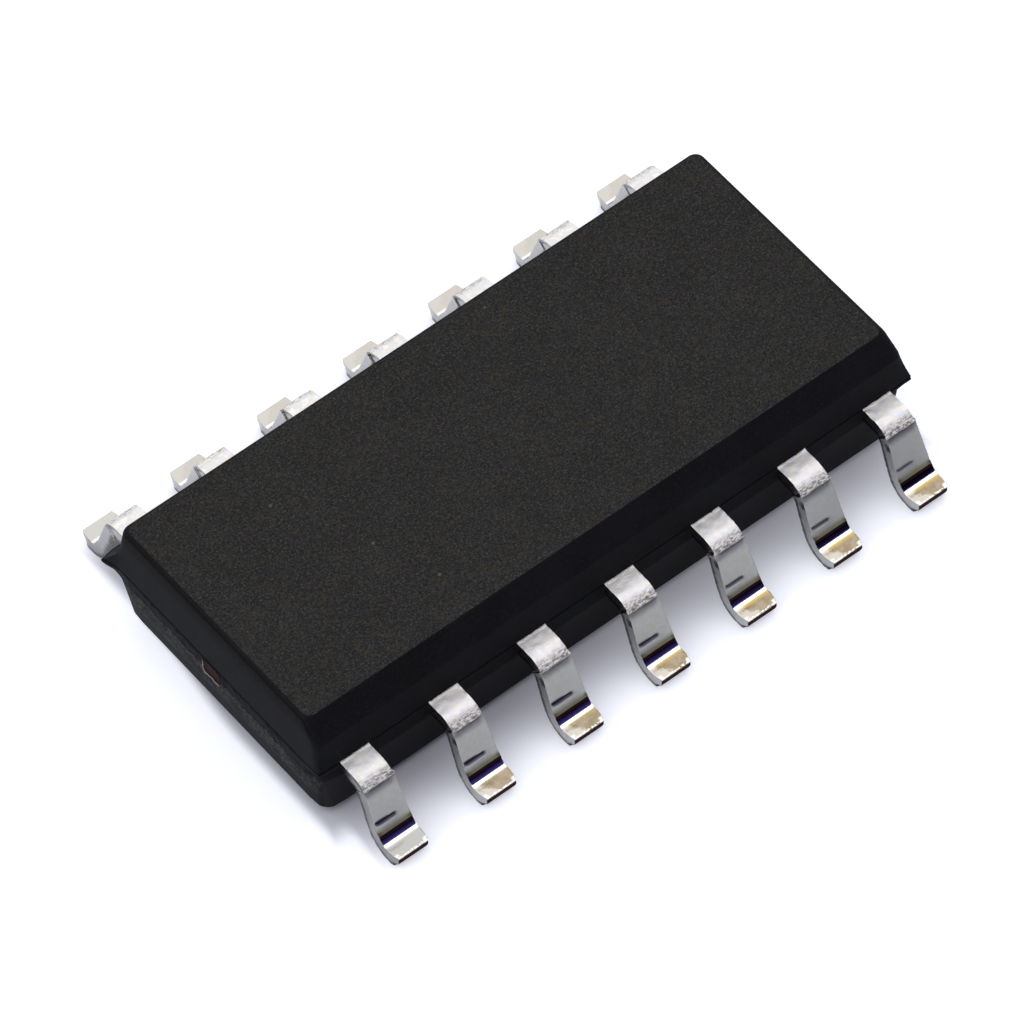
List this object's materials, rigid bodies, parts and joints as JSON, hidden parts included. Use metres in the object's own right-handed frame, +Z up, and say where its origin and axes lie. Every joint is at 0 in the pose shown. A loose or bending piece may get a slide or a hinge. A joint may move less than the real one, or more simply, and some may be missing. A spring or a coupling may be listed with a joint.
{
  "type": "gate driver chip",
  "caption": "Black moulded gate driver chip with two rows of gull-wing leads, a bevelled pin-one edge, and the paddle, die and bond wires inside.",
  "frame": {"origin": "below the middle of the lead frame, on the plane that the feet stand on", "axes": "+X along the lead rows, from lead 1 towards lead 7; +Y from the bevelled side to the other; +Z up, away from the board"},
  "size_m": [0.0086, 0.006, 0.0017],
  "materials": {
    "mould_compound": "matte black epoxy moulding with a fine grain",
    "tinned_lead": "satin matt tin over copper alloy, bare at the sheared tip",
    "frame_alloy": "bare copper alloy",
    "die_adhesive": "silver-filled adhesive",
    "silicon": "polished silicon",
    "wire_metal": "bright drawn wire"
  },
  "bodies": {
    "root": {"mould_body": "mould_compound", "lead_1": "tinned_lead", "lead_2": "tinned_lead", "lead_3": "tinned_lead", "lead_4": "tinned_lead", "lead_5": "tinned_lead", "lead_6": "tinned_lead", "lead_7": "tinned_lead", "lead_8": "tinned_lead", "lead_9": "tinned_lead", "lead_10": "tinned_lead", "lead_11": "tinned_lead", "lead_12": "tinned_lead", "lead_13": "tinned_lead", "lead_14": "tinned_lead", "die_paddle": "frame_alloy", "die_attach": "die_adhesive", "driver_die": "silicon", "bond_wire_1": "wire_metal", "bond_wire_2": "wire_metal", "bond_wire_3": "wire_metal", "bond_wire_4": "wire_metal", "bond_wire_5": "wire_metal", "bond_wire_6": "wire_metal", "bond_wire_7": "wire_metal", "bond_wire_8": "wire_metal", "bond_wire_9": "wire_metal", "bond_wire_10": "wire_metal", "bond_wire_11": "wire_metal", "bond_wire_12": "wire_metal", "bond_wire_13": "wire_metal", "bond_wire_14": "wire_metal"}
  },
  "joints": []
}
